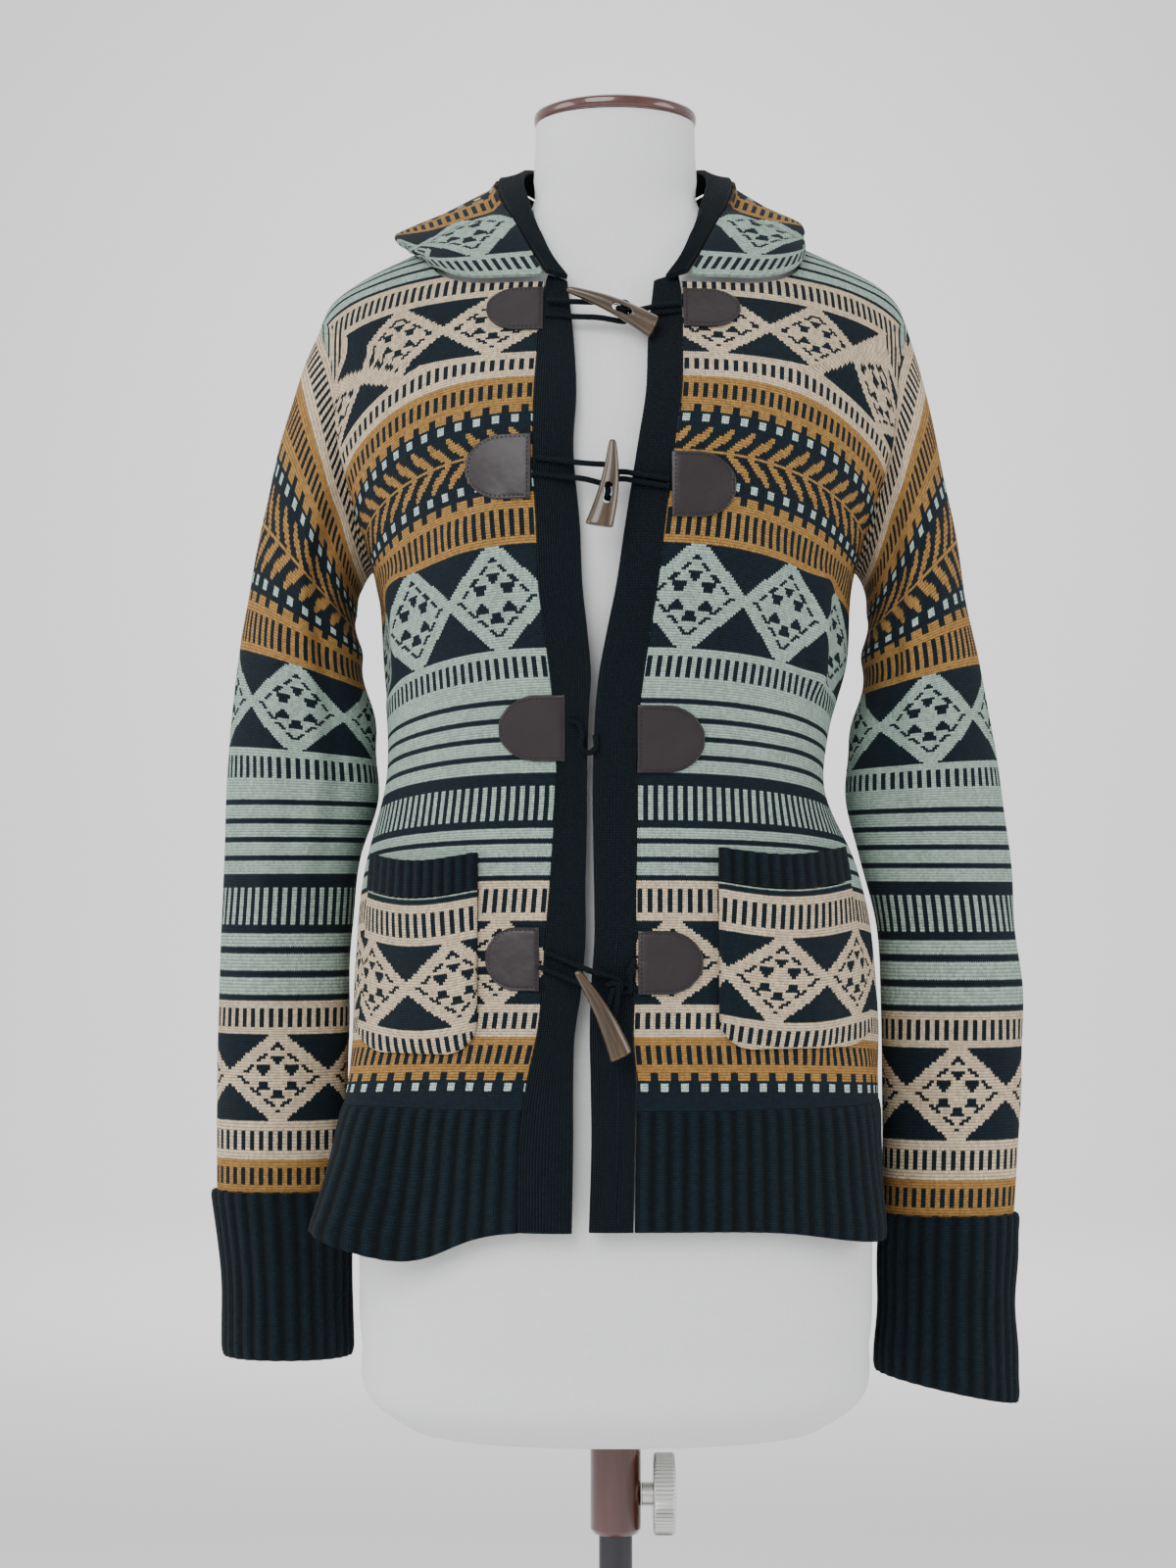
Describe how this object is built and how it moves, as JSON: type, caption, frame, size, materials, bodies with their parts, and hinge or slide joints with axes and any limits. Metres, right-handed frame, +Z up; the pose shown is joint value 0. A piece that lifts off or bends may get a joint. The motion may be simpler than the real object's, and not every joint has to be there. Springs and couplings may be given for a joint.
{
  "type": "hooded toggle cardigan on a dress form",
  "caption": "Hip-length hooded knit cardigan with toggle loops and patch pockets, worn open on a limbless dress form with a pole stand.",
  "frame": {"origin": "centre of the base's underside, on the pole's axis", "axes": "+Z up along the pole; the front of the cardigan faces -Y; the viewer's left is -X"},
  "size_m": [0.5201, 0.34, 1.5325],
  "materials": {
    "knit": "wool fair-isle stocking stitch",
    "rib": "wool rib",
    "leather": "smooth, stitched near the edge",
    "horn": "polished horn",
    "cord": "waxed cord",
    "linen": "woven cover over foam",
    "wood": "gloss cherry stain",
    "steel": "plated",
    "dark_metal": "dark satin"
  },
  "bodies": {
    "stand": {"base": "dark_metal", "pole": "dark_metal"},
    "form": {"back": "knit", "band_left": "rib", "band_right": "rib", "cuff_left": "rib", "cuff_right": "rib", "form_torso": "linen", "front_left": "knit", "front_right": "knit", "hem_back": "rib", "hem_left": "rib", "hem_right": "rib", "hood_band": "rib", "hood_left": "knit", "hood_right": "knit", "loop_left_row1": "cord", "loop_left_row2": "cord", "loop_left_row3": "cord", "loop_left_row4": "cord", "loop_right_row1": "cord", "loop_right_row2": "cord", "loop_right_row4": "cord", "neck_cap": "wood", "patch_row1_left": "leather", "patch_row1_right": "leather", "patch_row2_left": "leather", "patch_row2_right": "leather", "patch_row3_left": "leather", "patch_row3_right": "leather", "patch_row4_left": "leather", "patch_row4_right": "leather", "pocket_left": "knit", "pocket_rib_left": "rib", "pocket_rib_right": "rib", "pocket_right": "knit", "pole_collar": "wood", "sleeve_left": "knit", "sleeve_right": "knit", "toggle_row1": "horn", "toggle_row2": "horn", "toggle_row4": "horn"},
    "knob": {"clamp_knob": "steel"}
  },
  "joints": [
    {"name": "height_slide", "type": "slide", "parent": "stand", "child": "form", "axis": [0, 0, 1], "range_m": [-0.05, 0.1]},
    {"name": "clamp_turn", "type": "hinge", "parent": "form", "child": "knob", "pos_m": [0, 0, 0.655], "axis": [1, 0, 0], "range_deg": [-180, 180]}
  ]
}
